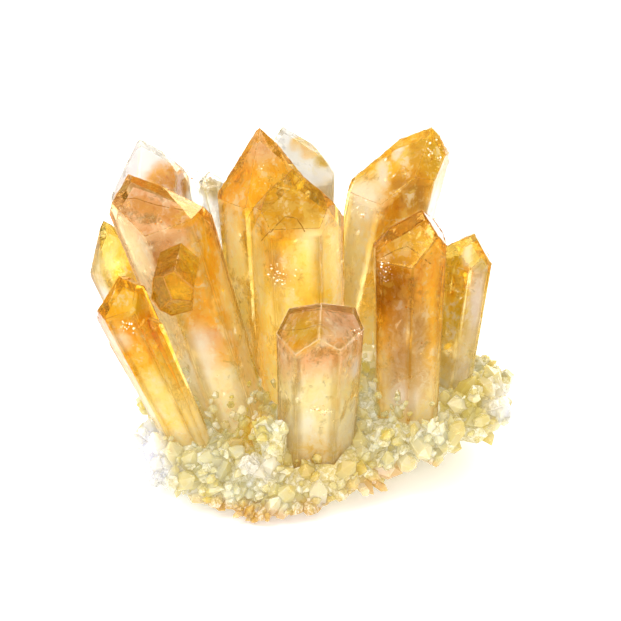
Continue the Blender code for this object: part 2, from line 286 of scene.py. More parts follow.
def quartz(name, point, look):
    """The clear skin of a crystal, and the depth of colour under it."""
    g = Graph(name)
    plain = g.place()
    where = g.place(1.4, 0.25)
    colour = quartz_colour(g, point, look, where, 0.1)
    patchy = g.noise(where, 0.25, 3.0, 0.65)
    tint = g.node("ShaderNodeAttribute", attribute_name="tint")
    hold = g.span(patchy, 0.3, 0.6, 0.75, 1.0)
    colour = g.mix(g.times(tint.outputs["Alpha"], hold), colour, tint.outputs["Color"])
    colour = g.mix(g.span(g.along(plain, point), 0.55, 0.15, 0.03, 0.35), colour, (1, 1, 1))
    drawn = g.noise(striated_place(g, where, point, 0.5, 0.36), 1.0, 5.0, 0.68)
    colour = g.mix(g.span(drawn, 0.44, 0.36, 0.0, 0.7), colour, colour, "MULTIPLY")
    colour = g.mix(g.span(drawn, 0.54, 0.6, 0.0, look.wisps * 1.3), colour, WHITE)
    colour = g.mix(g.span(tint.outputs["Alpha"], 1.0, 1.3), colour, tint.outputs["Color"])
    # Rounded edges take the outline colour: a painted highlight along them where it is pale.
    shown = g.times(g.attribute("edge"), g.span(patchy, 0.36, 0.52, 0.25, 0.95))
    g.give("Base Color", g.mix(shown, colour, look.outline))

    fine = g.noise(striated_place(g, plain, point, 0.12, 2.2), 1.0, 2.0)
    g.give("Normal", g.bump(fine, 0.00008, 0.18))
    g.give("Roughness", g.span(patchy, 0.35, 0.75, 0.0, 0.07))
    g.give("Transmission Weight", look.clear)
    g.give("IOR", IOR_QUARTZ)
    g.give("Specular Tint", (*look.sheen, 1))
    absorb = g.node("ShaderNodeVolumeAbsorption", {"Color": IN_DEPTH, "Density": look.density})
    g.put(g.output.inputs["Volume"], absorb.outputs[0])
    return g.material


def cloud(name, point, look):
    """Cloud inside a crystal: thick where its noise is high and near the foot, with torn
    white wisps, mottling and darker growth bands across it."""
    g = Graph(name)
    where = g.place(2.4, 0.2)
    height = g.along(where, point)
    wisps = g.noise(striated_place(g, where, point, 1.0, 0.8), 0.2, 4.0, 0.66)
    specks = g.noise(where, 0.75, 4.0, 0.75)
    alpha = g.math("ADD", g.span(wisps, look.cloud - 0.18, look.cloud + 0.06),
                   g.span(height, 0.4, 0.1), clamp=True)
    torn = g.span(g.noise(where, 0.35, 4.0, 0.72), 0.3, 0.6, 0.6, 1.0)
    for centre, radii, _, weight, *_ in look.patches:
        mask = g.times(g.blob(where, centre, radii), weight * 0.7)
        alpha = g.math("ADD", alpha, g.times(mask, torn), clamp=True)
    rim = g.times(g.attribute("rim"), g.span(torn, 0.6, 1.0, 0.1, look.rim))
    fade = g.span(g.attribute("fade"), 0.0, 1.0, 0.4, 1.0)
    alpha = g.math("MAXIMUM", g.times(alpha, fade), rim)
    colour = quartz_colour(g, point, look, where, 0.45)
    pale = g.noise(striated_place(g, where, point, 0.8, 0.5), 0.55, 4.0, 0.62)
    colour = g.mix(g.span(pale, 0.5, 0.66, 0.0, 0.65), colour, WHITE)
    colour = g.mix(g.span(pale, 0.46, 0.3, 0.0, 0.6), colour, look.dark, "MULTIPLY")
    foot = g.span(height, 0.5, 0.2)
    above = g.math("SUBTRACT", 1.0, foot)
    mark = g.times(g.span(specks, 0.5, 0.7, 0.0, 0.15), above)
    colour = g.mix(mark, colour, look.dark, "MULTIPLY")
    colour = g.mix(g.times(g.span(specks, 0.5, 0.6, 0.0, 0.8), foot), colour, WHITE)
    drawn = g.noise(striated_place(g, where, point, 0.3, 0.24), 1.0, 3.0, 0.65)
    colour = g.mix(g.span(drawn, 0.54, 0.6, 0.0, look.wisps), colour, WHITE)
    bands = g.times(g.span(drawn, 0.46, 0.34, 0.0, look.bands * 0.4), above)
    colour = g.mix(bands, colour, look.dark, "MULTIPLY")
    colour = g.mix(rim, colour, look.dark, "MULTIPLY")
    g.give("Base Color", g.lighten(colour, 0.5))
    g.give("Alpha", g.times(alpha, 0.9))
    # Painted light: the cloud glows, most at its foot, standing in for light carried down through
    # the crystal, and the lit patches add more painted light.
    painted_glow = g.mix(foot, tuple(part * 0.3 for part in look.glow), look.glow)
    for centre, radii, patch in look.lit:
        painted_glow = g.mix(g.blob(where, centre, radii, 0.8), painted_glow, patch)
    g.emit(painted_glow, 1.0)
    g.give("Roughness", 0.75)
    g.give("Specular IOR Level", 0.0)
    return g.material


# ---------------------------------------------------------------- meshes

def axis_frame(point):
    """Matrix that takes a point's own frame, in metres, to the world."""
    roll = Matrix.Rotation(math.radians(point.roll), 4, "Z")
    return Matrix.Translation(Vector(point.foot) * MM) @ axis_rotation(point).to_4x4() @ roll


def cut_away(bm, place, normal):
    """Remove what lies beyond a plane and close the cut with a flat face."""
    geometry = bm.verts[:] + bm.edges[:] + bm.faces[:]
    cut = bmesh.ops.bisect_plane(
        bm, geom=geometry, dist=1e-7, plane_co=place, plane_no=normal, clear_outer=True)
    edges = [item for item in cut["geom_cut"] if isinstance(item, bmesh.types.BMEdge)]
    if edges:
        bmesh.ops.edgeloop_fill(bm, edges=edges)


def quartz_point(point, grow=0.0, lower=0.0):
    """Six-sided prism cut to a point; grow thickens it and lower drops its tip."""
    to_world = axis_frame(point)
    tip = to_world.inverted() @ (Vector(point.tip) * MM)
    tip.z -= lower * MM
    radius = point.across * MM / 2
    grow = grow * MM
    length = tip.z + radius
    bm = bmesh.new()
    bmesh.ops.create_cone(
        bm, cap_ends=True, segments=SIDES, depth=length + grow,
        radius1=radius * point.taper + grow, radius2=radius + grow,
        matrix=Matrix.Translation((0, 0, (length - grow) / 2))
        @ Matrix.Rotation(math.radians(30), 4, "Z"))
    bmesh.ops.scale(bm, vec=(1, point.depth, 1), verts=bm.verts)
    pitch = math.radians(point.pitch)
    for side, drop in enumerate(point.point_faces):
        angle = math.radians(30 + side * 360 / SIDES)
        outward = Vector((math.cos(angle), math.sin(angle) / point.depth, 0)).normalized()
        normal = outward * math.cos(pitch) + Vector((0, 0, math.sin(pitch)))
        cut_away(bm, tip - Vector((0, 0, drop * MM)) + normal * grow, normal)
    bmesh.ops.transform(bm, matrix=to_world, verts=bm.verts)
    bmesh.ops.recalc_face_normals(bm, faces=bm.faces)
    return bm


def slice_rows(bm, point, rows, columns):
    """Cut edge loops across a crystal every rows mm and along it every columns mm."""
    turn = axis_rotation(point)
    foot = Vector(point.foot) * MM
    chance = random.Random(3)
    for index, spacing in ((2, rows), (0, columns), (1, columns)):
        normal = turn.col[index]
        reach = [(vert.co - foot).dot(normal) for vert in bm.verts]
        at = min(reach) + spacing * MM * 0.5
        while at < max(reach):
            bmesh.ops.bisect_plane(
                bm, geom=bm.verts[:] + bm.edges[:] + bm.faces[:], dist=1e-6,
                plane_co=foot + normal * at, plane_no=normal)
            at += spacing * MM * chance.uniform(0.7, 1.3)


def node_surface(name):
    """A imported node's own surface, welded and with its flat faces whole."""
    bm = bmesh.new()
    bm.from_mesh(frame["nodes"][name].data)
    bmesh.ops.remove_doubles(bm, verts=bm.verts, dist=2e-6)
    bmesh.ops.dissolve_limit(
        bm, angle_limit=math.radians(0.6), verts=bm.verts, edges=bm.edges,
        use_dissolve_boundaries=False)
    bmesh.ops.recalc_face_normals(bm, faces=bm.faces)
    return bm


def bevel_sharp(bm, width):
    """Round the convex edges a little."""
    sharp = [edge for edge in bm.edges if len(edge.link_faces) == 2
             and edge.calc_face_angle_signed(0) > math.radians(8)]
    bmesh.ops.bevel(
        bm, geom=sharp, offset=width * MM, segments=2, profile=0.6, affect="EDGES",
        clamp_overlap=True)


def step_table(seed):
    """Random growth steps: mostly faint, now and then a bold one."""
    chance = random.Random(seed)
    steps, level = [], 0.0
    for _ in range(STEPS):
        level = level * 0.75 + chance.gauss(0, 1) * (1.0 if chance.random() < 0.85 else 2.6)
        steps.append(level)
    return steps


def striate(bm, point, amount, seed):
    """Growth steps across the faces and a slow waviness over them, as real relief."""
    bm.normal_update()
    turn = axis_rotation(point)
    foot = Vector(point.foot) * MM
    along = turn.col[2]
    steps = [step_table(seed + side) for side in range(SIDES)]
    moves = []
    for vert in bm.verts:
        normal = vert.normal
        flat = normal - along * normal.dot(along)
        height = (vert.co - foot).dot(along) / MM
        local = turn.transposed() @ flat
        side = int((math.atan2(local.y, local.x) / math.tau * SIDES) % SIDES)
        wave = noise.noise(vert.co / (7 * MM)) + 0.4 * noise.noise(vert.co / (2.5 * MM))
        row = steps[side][int(max(0, height) / STEP_HIGH) % STEPS]
        share = 0.25 + 0.75 * flat.length
        moves.append(normal * (row * share * amount * 0.35 + wave * amount * 1.4) * MM)
    for vert, move in zip(bm.verts, moves):
        vert.co += move


def add_object(name, data):
    made = bpy.data.objects.new(name, data)
    bpy.context.scene.collection.objects.link(made)
    return made


def add_piece(mesh, material):
    """A mesh as an object that rides on the model."""
    mesh.materials.append(material)
    made = add_object(mesh.name, mesh)
    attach(made, "root")
    return made


def finish_piece(name, bm, material, smooth=False):
    """A piece from a bmesh."""
    mesh = bpy.data.meshes.new(name)
    bm.to_mesh(mesh)
    bm.free()
    if smooth:
        mesh.shade_smooth()
        mesh.set_sharp_from_angle(angle=SMOOTH_BELOW)
    return add_piece(mesh, material)


class Loose:
    """Many small things gathered into one mesh, with named values at their vertices."""

    def __init__(self, name):
        self.name, self.verts, self.faces, self.values = name, [], [], {}

    def add(self, verts, faces, **values):
        """Faces count from the first of these vertices; a value may be one for them all."""
        first = len(self.verts)
        self.verts += verts
        self.faces += [[first + index for index in face] for face in faces]
        for key, value in values.items():
            share = value if isinstance(value, list) else [value] * len(verts)
            self.values.setdefault(key, []).extend(share)

    def piece(self, material, slot, smooth=False):
        mesh = bpy.data.meshes.new(self.name)
        mesh.from_pydata(self.verts, [], self.faces)
        for key, numbers in self.values.items():
            mesh.attributes.new(key, "FLOAT", "POINT").data.foreach_set("value", numbers)
        if smooth:
            mesh.shade_smooth()
        add_piece(mesh, material)


def around(axis):
    """Two directions square to an axis and to each other."""
    right = axis.orthogonal().normalized()
    return right, axis.normalized().cross(right)


def chance_vector(draw):
    return Vector([draw() for _ in range(3)])


def write_tints(bm, flat, tints):
    """Colour every face by the flat facet that it lies on, from (place on the facet,
    colour, weight) triples, and mark the faces of rounded edges."""
    tree = BVHTree.FromBMesh(flat)
    flat.faces.ensure_lookup_table()
    chosen = {}
    for place, colour, weight in tints:
        chosen[tree.find_nearest(Vector(place) * MM)[2]] = (*colour, weight)
    tint = bm.loops.layers.float_color.new("tint")
    edge = bm.loops.layers.float_color.new("edge")
    for face in bm.faces:
        _, normal, facet, _ = tree.find_nearest(face.calc_center_median())
        bevelled = 1.0 if face.normal.dot(normal) < 0.985 else 0.0
        for loop in face.loops:
            loop[tint] = chosen.get(facet, (1, 1, 1, 0))
            loop[edge] = (bevelled, bevelled, bevelled, 1)


def crystal(node, material, tints=(), amount=0.015, bevel=0.28, rows=0.6, columns=1.4):
    """The visible surface of a packed crystal."""
    point = POINTS[NODE_POINT[node]]
    bm = node_surface(node)
    flat = bm.copy()
    bevel_sharp(bm, bevel)
    slice_rows(bm, point, rows, columns)
    striate(bm, point, amount, sum(map(ord, node)))
    bmesh.ops.triangulate(bm, faces=[face for face in bm.faces if len(face.verts) > 4])
    write_tints(bm, flat, tints)
    flat.free()
    piece = finish_piece(node + "_surface", bm, material, smooth=True)
    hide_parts(node)


def runs_along(point, ends):
    """True for an edge along a point's sides."""
    heading = (ends[1] - ends[0]).normalized()
    return abs(heading.dot(axis_rotation(point).col[2])) > ALONG


def near_edges(edges, place):
    """Distance in millimetres from a place to the nearest of some edges."""
    best = 1e9
    for start, end in edges:
        along = end - start
        share = max(0.0, min(1.0, (place - start).dot(along) / along.length_squared))
        best = min(best, (place - start - along * share).length)
    return best / MM


def smooth(value, low, high):
    """0 below low, 1 above high, smooth between."""
    share = max(0.0, min(1.0, (value - low) / (high - low)))
    return share * share * (3 - 2 * share)


def cloud_body(name, point, material, grow, lower=0.0, wave=0.4, ridges=False):
    """A cloudy body inside a crystal: faded along its long edges, outlined at its cap, or at
    the ridges that meet at its tip alone."""
    bm = quartz_point(point, grow, lower)
    up = above_foot(point)
    lengthwise, cap = [], []
    for edge in bm.edges:
        ends = tuple(vert.co.copy() for vert in edge.verts)
        if runs_along(point, ends):
            lengthwise.append(ends)
        elif max(map(up, ends)) > CAP_ABOVE:
            cap.append(ends)
    top = max(up(vert.co) for vert in bm.verts)
    if ridges:
        cap = [ends for ends in cap if max(map(up, ends)) > top - 1.5 * MM]
    slice_rows(bm, point, 1.2, 1.2)
    fade = bm.verts.layers.float.new("fade")
    rim = bm.verts.layers.float.new("rim")
    cap_share = bm.verts.layers.float.new("cap")
    top /= MM
    soft = point.across * 0.08
    for vert in bm.verts:
        vert[fade] = smooth(near_edges(lengthwise, vert.co), 0.1, soft)
        vert[rim] = 1 - smooth(near_edges(cap, vert.co), 0.2, 2.6 if ridges else 1.5)
        vert[cap_share] = smooth(up(vert.co) / MM, top - 13, top - 7)
        move = noise.noise(vert.co / (5 * MM)) * wave * MM
        vert.co += vert.normal * min(0.3 * MM, move)
    finish_piece(name, bm, material, smooth=True)


# ---------------------------------------------------------------- the crystals

# How each point looks. stops colour it from foot to tip; clear is its transmission; cloud is
# the noise level above which it is cloudy inside; density is how strongly depth colours the
# light; wisps and bands are the strengths of those marks, and dark tints the bands. patches
# are (centre, half-sizes, colour, strength) and may end with how soft their edges are. sheen
# tints reflections; glow is painted light, a glow of the cloud that stands in for light carried
# down through the crystal, strongest at its foot; outline colours the rounded edges, a painted
# highlight where it is pale; rim is how strongly the cloud's cap is outlined; and lit are
# (centre, half-sizes, light) patches of painted light inside.
Look = namedtuple(
    "Look", "stops clear cloud density wisps bands dark patches sheen glow outline rim lit",
    defaults=(SHEEN, (0.16, 0.10, 0.03), CREAM, 0.1, ()))
WARM = ((0.0, CREAM), (0.3, PALE), (0.55, YELLOW), (0.8, GOLD), (1.0, GOLD))
ROSY = ((0.0, CREAM), (0.35, CREAM), (0.5, PALE), (0.7, PINK), (0.85, PINK), (1.0, PINK))
COOL = ((0.0, CREAM), (0.4, CREAM), (0.7, WHITE), (1.0, ICE))
HONEY = ((0.0, CREAM), (0.3, PALE), (0.55, GOLD), (0.8, ORANGE), (1.0, GOLD))
DARK = ((0.0, ORANGE), (0.5, GOLD), (0.8, AMBER), (1.0, AMBER))
TAN = paler(AMBER, 0.3)

# The glow and lit entries below are painted light given off by the clouds.
LOOKS = {
    "centre_back": Look(WARM, 1.0, 0.5, 40, 0.6, 0.3, TAN, (
        ((-12, 3, 65.5), (5, 6, 5), (0.84, 0.60, 0.44), 1.0),
        ((-17, 2, 60), (3, 4, 6), ORANGE, 0.8), ((-11, 2, 60), (4, 4, 4), GOLD, 0.8),
        ((-19, 3, 50), (2.0, 4, 7), ORANGE, 0.9), ((-17, 3, 44), (3, 4, 10), CREAM, 0.7),
    ), lit=(((-17, 2, 42), (4, 6, 12), (0.22, 0.16, 0.05)),)),
    "centre_front": Look(WARM, 1.0, 0.5, 40, 0.5, 0.25, TAN, (
        ((-5.5, -5, 58.5), (9, 5, 4), HARVEST, 1.0), ((-4, -5, 56.5), (8, 5, 4), AMBER, 0.95),
        ((-6.5, -6, 53), (6, 4, 2.0), AMBER, 0.8), ((-8, -7, 45), (4, 3, 4), PINK, 0.6),
        ((-8, -7, 36), (4, 3, 6), PALE, 0.8), ((-2, -6, 50.5), (3, 4, 3.4), WHITE, 0.9),
        ((0, -5, 44.5), (6.5, 6, 8), PALE, 1.0), ((1, -5, 38), (5, 6, 5), YELLOW, 0.9),
        ((-13.5, -3, 38), (2.5, 4, 14), CREAM, 0.9), ((-12, 0, 26), (4, 5, 8), GOLD, 0.9),
        ((-12, 0, 17), (3, 4, 4), AMBER, 0.95),
    ), glow=(0.40, 0.27, 0.07), lit=(((0, -5, 44.5), (6, 7, 8), (0.30, 0.22, 0.06)),
                                     ((-7, -6, 31), (8, 7, 8), (0.34, 0.25, 0.08)))),
    "left_main": Look(ROSY, 1.0, 0.5, 40, 0.5, 0.2, ROSE, (
        ((-36, -11, 64), (5, 7, 3.0), BLUSH, 1.0, 0.2),
        ((-29, -12, 62), (5, 7, 3.4), BLUSH, 1.0, 0.2),
        ((-37, -12, 60.0), (4.5, 7, 1.1), AMBER, 0.7, 0.3),
        ((-31, -13, 58.8), (4.5, 7, 1.1), AMBER, 0.7, 0.3),
        ((-26, -13, 57.5), (3.5, 7, 1.1), AMBER, 0.9, 0.3),
        ((-31, -17, 53), (5, 4, 3), MAUVE, 0.8), ((-29, -17, 50), (3, 4, 4), ROSE, 0.5),
        ((-22, -14, 50), (3.5, 5, 9), GOLD, 0.9), ((-22.5, -15, 43), (4, 4, 5), ORANGE, 0.8),
        ((-18.5, -12, 42), (1.6, 5, 14), CREAM, 0.9), ((-22, -16, 37), (6, 4, 3), ORANGE, 0.9),
        ((-22, -16, 33), (5, 4, 2.5), ROSE, 0.9), ((-19, -16, 30), (4, 4, 3), ORANGE, 0.7),
        ((-24, -16, 28), (3, 4, 8), WHITE, 0.8), ((-17, -16, 20), (6, 5, 6), CREAM, 0.8),
        ((-36, -13, 50), (3, 5, 6), CREAM, 0.8),
    ), lit=(((-20, -12, 42), (3, 6, 14), (0.18, 0.11, 0.02)),
            ((-36, -12, 48), (3, 6, 8), (0.08, 0.05, 0.03)))),
    "back_left": Look(COOL, 0.9, 0.42, 4, 0.3, 0.1, CREAM, (
        ((-36, 19, 58.5), (6, 7, 3), ICE, 0.5), ((-35, 17, 52), (3, 6, 2), PALE, 0.7),
        ((-31, 17, 54.6), (5, 6, 3.4), ORANGE, 1.0, 0.3),
        ((-30.4, 17, 54.6), (3.4, 6, 2.4), AMBER, 0.8),
        ((-28.6, 17, 52.4), (2.4, 6, 2.0), AMBER, 0.9, 0.4),
    ), ICE, lit=(((-39, 18, 57), (5, 9, 6), (0.15, 0.16, 0.18)),)),
    "back_small": Look(COOL, 0.9, 0.5, 10, 0.6, 0.2, OLIVE, (
        ((-23.5, 25, 50), (3, 4, 2), OLIVE, 0.8),
    ), ICE),
    "back_centre": Look(COOL, 0.9, 0.42, 4, 0.3, 0.2, PALE, (
        ((-4.6, 24, 59.8), (2.2, 6, 1.4), GOLD, 1.0, 0.3),
        ((-2.2, 24, 58.2), (2.2, 6, 1.4), GOLD, 1.0, 0.3),
        ((0.6, 25, 56.4), (2.2, 6, 1.4), HARVEST, 1.0, 0.3),
        ((-1, 25, 50), (6, 5, 3), HARVEST, 0.5), ((-6, 25, 57), (4, 6, 3), WHITE, 0.5),
    ), ICE, lit=(((-7, 24, 56), (5, 9, 7), (0.03, 0.04, 0.04)),)),
    "right_back": Look(WARM, 1.0, 0.5, 40, 0.6, 0.2, TAN, (
        ((22, 15, 61), (5, 5, 5), HARVEST, 1.0), ((20, 15, 58), (3, 5, 5), AMBER, 0.5),
        ((15.8, 15.8, 60.8), (1.7, 6, 2.6), ICE, 1.0, 0.3),
        ((12.2, 13.5, 57), (1.7, 6, 2.8), ICE, 1.0, 0.3),
        ((17.5, 12, 54), (4, 5, 4), AMBER, 1.0), ((17.5, 12, 53.5), (3.4, 5, 3.4), BURNT, 0.8),
        ((14, 11, 50), (5, 5, 4), AMBER, 0.7), ((8.6, 13, 58.5), (2.6, 5, 3), YELLOW, 0.8),
        ((7.5, 13, 52), (5, 5, 5), WHITE, 1.0), ((6, 12, 40), (5, 5, 8), CREAM, 0.9),
        ((22.5, 16, 49), (3, 5, 5), WHITE, 0.9),
    ), glow=(0.28, 0.19, 0.06), lit=(((6.5, 12, 48), (3.5, 6, 10), (0.13, 0.10, 0.03)),)),
    "right_front": Look(HONEY, 1.0, 0.5, 60, 0.4, 0.3, TAN, (
        ((15.5, -10, 51.5), (6, 5, 3.5), HARVEST, 0.8),
        ((15, -11, 46.0), (6.5, 5, 3.4), AMBER, 1.0),
        ((13, -11, 40), (4.5, 5, 4), BURNT, 0.9), ((15, -11, 44.5), (5, 5, 3), BURNT, 0.7),
        ((19.5, -11, 44), (3, 5, 5), ORANGE, 0.6), ((14, -11.5, 33), (3, 4, 6), ORANGE, 0.6),
        ((18, -12, 33), (5, 4, 7), UMBER, 0.9), ((17, -12, 24), (5, 4, 5), UMBER, 0.8),
        ((16, -12, 19), (3, 4, 3), LAVENDER, 0.8), ((21.5, -9, 36), (1.6, 5, 12), GOLD, 0.8),
    ), outline=BURNT, rim=0.5),
    "far_right": Look(WARM, 1.0, 0.5, 40, 0.5, 0.2, OLIVE, (
        ((26, 0, 44), (2, 4, 3), HARVEST, 0.9), ((29, 0, 45.5), (1.0, 4, 3), WHITE, 0.95),
        ((31.5, 1, 43), (2.2, 4, 4), OLIVE, 0.9), ((31, 0, 34), (2, 4, 7), ROSE_GREY, 0.9),
        ((28, -1, 33), (1.6, 4, 5), HARVEST, 0.8), ((28, 0, 24), (4, 5, 6), UMBER, 0.4),
    ), glow=(0.06, 0.04, 0.01)),
    "front": Look(ROSY, 1.0, 0.5, 30, 0.45, 0.25, TAN, (
        ((-3.5, -25, 41), (5, 5, 1.2), AMBER, 0.9),
        ((-3.5, -25, 38.6), (5, 5, 1.4), HARVEST, 0.9),
        ((-5.5, -26, 36.5), (3, 3, 1.4), ORANGE, 0.95), ((3.5, -25, 40), (4, 4, 2.0), MAUVE, 0.9),
        ((2.5, -27, 37.5), (2, 3, 2), ORANGE, 0.5), ((-1, -27, 33), (6, 3, 2.0), PINK, 0.5),
        ((-1, -27, 26), (7, 4, 6), CREAM, 0.9), ((7, -20, 29.5), (2, 3, 2.5), LAVENDER, 0.9),
        ((-0.5, -26, 11.5), (10, 6, 6), (0.80, 0.56, 0.14), 1.0),
        ((-3, -27, 20), (2, 3, 3), WHITE, 0.5),
    ), glow=(0.05, 0.02, 0.0)),
    "far_left": Look(WARM, 1.0, 0.5, 25, 0.5, 0.1, OLIVE, (
        ((-45, 3, 42), (1.6, 4, 7), OLIVE, 0.9), ((-42.5, 3, 42), (1.6, 4, 8), CREAM, 0.8),
        ((-42, 3, 47), (4, 4, 3), GOLD, 0.7), ((-43, 3, 34), (3, 4, 3), LAVENDER, 0.9),
    )),
    "lower_left": Look(HONEY, 1.0, 0.45, 60, 0.5, 0.2, TAN, (
        ((-38, -27, 44), (5, 4, 3), HARVEST, 0.9), ((-37, -26, 39), (6, 4, 4), ORANGE, 0.9),
        ((-38, -26, 37), (2, 4, 2), WHITE, 0.6), ((-30, -25, 30), (2, 4, 10), YELLOW, 0.7),
        ((-31, -24, 25), (4, 4, 6), PALE, 0.9), ((-29, -24, 19), (4, 4, 3), YELLOW, 0.8),
    ), outline=AMBER),
    "left_dark": Look(DARK, 1.0, 0.62, 40, 0.2, 0.2, TAN, (
        ((-27.5, -26, 47.5), (2.5, 3, 2), GOLD, 0.9), ((-29, -24, 50), (3, 3, 1.5), BURNT, 0.8),
    )),
}
PLAIN_LOOK = Look(WARM, 1.0, 0.5, 40, 0.5, 0.3, TAN, ())

# Colours of single facets: a place on the facet, its colour and how strongly it shows; one over
# 1 is free of noise.
TINTS = {
    "centre_front": (
        ((-11.5, 2.5, 62.5), ORANGE, 0.4), ((-15.6, 1.5, 58.4), ORANGE, 0.7),
        ((-7.2, 4.6, 62.3), YELLOW, 0.6), ((-17.1, 2.5, 40.8), CREAM, 0.5),
        ((-5.5, -4.4, 57.4), (0.64, 0.42, 0.04), 0.9), ((-11.4, -3.9, 38.8), PALE, 0.4),
        ((1.7, -4.0, 43.8), CREAM, 0.5),
    ),
    "left_main": (
        ((-32.6, -14.2, 58.8), BLUSH, 0.6), ((-26.0, -13.3, 59.3), YELLOW, 0.8),
        ((-20.7, -13.9, 43.4), GOLD, 0.6), ((-32.6, -13.8, 41.0), CREAM, 0.6),
        ((-29.4, -22.9, 51.7), UMBER_GOLD, 1.4), ((-25.1, -20.3, 50.8), HARVEST, 1.4),
        ((-26.8, -27.0, 48.5), GOLD, 1.4), ((-30.4, -26.5, 47.4), UMBER_GOLD, 1.4),
        ((-27.2, -25.9, 44.2), HARVEST, 1.4), ((-24.0, -21.1, 46.9), GOLD, 1.4),
    ),
    "back_left": (((-39.0, 17.0, 54.5), ROSE_GREY, 0.9),),
    "back_small": (((-27.1, 27.9, 52.6), ROSE_GREY, 0.9),),
    "back_centre": (
        ((1.1, 26.7, 55.6), HARVEST, 0.6), ((-9.8, 27.2, 60.7), LAVENDER, 0.6),
    ),
    "right_back": (
        ((14.6, 12.9, 57.7), PALE, 0.1), ((22.0, 15.7, 61.7), HARVEST, 0.6),
        ((6.4, 11.8, 39.8), CREAM, 0.7), ((24.7, 17.9, 61.7), OLIVE, 0.7),
    ),
    "right_front": (
        ((21.8, -7.2, 53.4), AMBER, 0.6), ((15.6, -9.6, 51.6), paler(GOLD, 0.3), 0.6),
    ),
    "far_right": (
        ((32.1, 2.9, 45.1), OLIVE, 0.8), ((25.2, -0.3, 27.8), HARVEST, 0.5),
        ((29.6, -0.5, 30.5), ROSE_GREY, 0.6),
    ),
    "front": (
        ((3.3, -23.6, 39.5), MAUVE, 0.5), ((-4.2, -24.1, 39.3), HARVEST, 0.7),
        ((-6.9, -23.6, 23.1), CREAM, 0.4), ((4.9, -22.4, 22.4), CREAM, 0.4),
    ),
    "far_left": (((-44.9, 3.3, 43.3), OLIVE, 0.7), ((-41.9, 2.7, 45.4), PALE, 0.4)),
    "lower_left": (
        ((-39.1, -26.1, 45.2), GOLD, 0.8), ((-29.6, -24.6, 27.5), YELLOW, 0.5),
    ),
}

SLOT_POINTS = (("amber_quartz", ("centre_front", "right_back", "right_front", "lower_left")),
               ("rosy_quartz", ("left_main", "front")),
               ("pale_quartz", ("back_left", "back_small", "back_centre")))
SLOTS = {key: slot for slot, keys in SLOT_POINTS for key in keys}


def slot_of(key):
    """The record's material slot of a point."""
    return SLOTS.get(key, "golden_quartz")


for node, key in NODE_POINT.items():
    look = LOOKS.get(key, PLAIN_LOOK)
    if key == "centre_front":
        look = look._replace(patches=LOOKS["centre_back"].patches + look.patches)
    crystal(node, quartz("quartz_" + key, POINTS[key], look), TINTS.get(key, ()))


def veil_material():
    """A healed crack: a torn silvery sheet, glowing with painted light so that it reads bright
    inside the crystal.
    """
    g = Graph("veil")
    torn = g.span(g.noise(g.place(), 0.7, 5.0, 0.75), 0.44, 0.52)
    colour = g.mix(g.attribute("grain"), WHITE, YELLOW)
    g.give("Base Color", colour)
    # Painted light: the sheet glows so that it is not dark inside the skin.
    g.emit(colour, 0.5)
    g.give("Alpha", g.times(torn, g.attribute("fade")))
    g.give("Roughness", 0.25)
    return g.material


def add_veil(sheets, centre, normal, radii, shade, chance):
    """One crumpled sheet: rings of places round its centre."""
    normal = normal.normalized()
    right, back = around(normal)
    verts, faces, fades = [centre], [], [1.0]
    drift = chance_vector(lambda: chance.uniform(0, 90))
    for ring in range(1, VEIL_RINGS + 1):
        share = ring / VEIL_RINGS
        for step in range(VEIL_SPOKES):
            angle = math.tau * step / VEIL_SPOKES
            turn = Vector((math.cos(angle), math.sin(angle), 0))
            ragged = 1 + 0.35 * noise.noise(drift + turn * 1.4)
            flat = right * turn.x * radii[0] + back * turn.y * radii[1]
            place = centre + flat * share * ragged * MM
            place += normal * noise.noise(place / (1.6 * MM) + drift) * 0.5 * MM
            verts.append(place)
            fades.append(1 - share ** 2)
    for step in range(VEIL_SPOKES):
        after = (step + 1) % VEIL_SPOKES
        faces.append((0, 1 + step, 1 + after))
        for low in range(1, 1 + (VEIL_RINGS - 1) * VEIL_SPOKES, VEIL_SPOKES):
            high = low + VEIL_SPOKES
            faces.append((low + step, high + step, high + after, low + after))
    sheets.add(verts, faces, fade=fades, grain=shade)


def veils(key, count, material):
    """Healed cracks scattered inside a crystal."""
    point = POINTS[key]
    chance = random.Random(key)
    foot = Vector(point.foot) * MM
    axis = (Vector(point.tip) - Vector((point.offset, 0, 0))) * MM - foot
    sheets = Loose("veils_" + key)
    for _ in range(count):
        share = chance.uniform(0.2, 0.93)
        room = point.across / 2 * (point.taper + (1 - point.taper) * share) * point.depth * 0.8
        room *= min(1.0, (1 - share) * 5)
        turn = chance.uniform(0, math.tau)
        near = chance.random() < 0.75
        out = (chance.uniform(0.9, 1.04) if near else chance.uniform(0.1, 0.8)) * room
        outward = axis_rotation(point) @ Vector((math.cos(turn), math.sin(turn), 0))
        spot = outward * out
        size = chance.uniform(0.3, 1.5) if near else chance.uniform(1.0, 3.0)
        normal = chance_vector(lambda: chance.gauss(0, 1)) + outward * (2.0 if near else 0)
        add_veil(sheets, foot + axis * share + spot * MM, normal,
                 (size, size * chance.uniform(0.3, 0.8)), chance.random() ** 2, chance)
    sheets.piece(material, slot_of(key), smooth=True)


# Each sheet's rings and spokes.
VEIL_RINGS, VEIL_SPOKES = 4, 14
# How far below a point's tip its cloud begins, and its phantom if it has one.
LOWERED = {"centre_front": 2.0, "right_front": 2.0, "left_main": 1.4, "back_left": 0.3,
           "back_centre": 0.3, "back_small": 0.3}
PHANTOMS = {"right_front": 7.5, "centre_front": 8.0, "left_main": 6.0, "right_back": 9.0}
# How much wider than its point a cloud is, where the point's own width doesn't decide.
INSET = {"back_left": -0.9, "back_centre": -0.9}
# How many healed cracks each point has.
VEILS = {"centre_front": 80, "centre_back": 60, "left_main": 80, "right_back": 80,
         "right_front": 44, "front": 50, "lower_left": 50, "far_right": 30, "far_left": 30,
         "back_left": 16, "back_centre": 20, "back_small": 16}
SPECK_SIZES = (0.07, 0.09, 0.11, 0.14, 0.22)
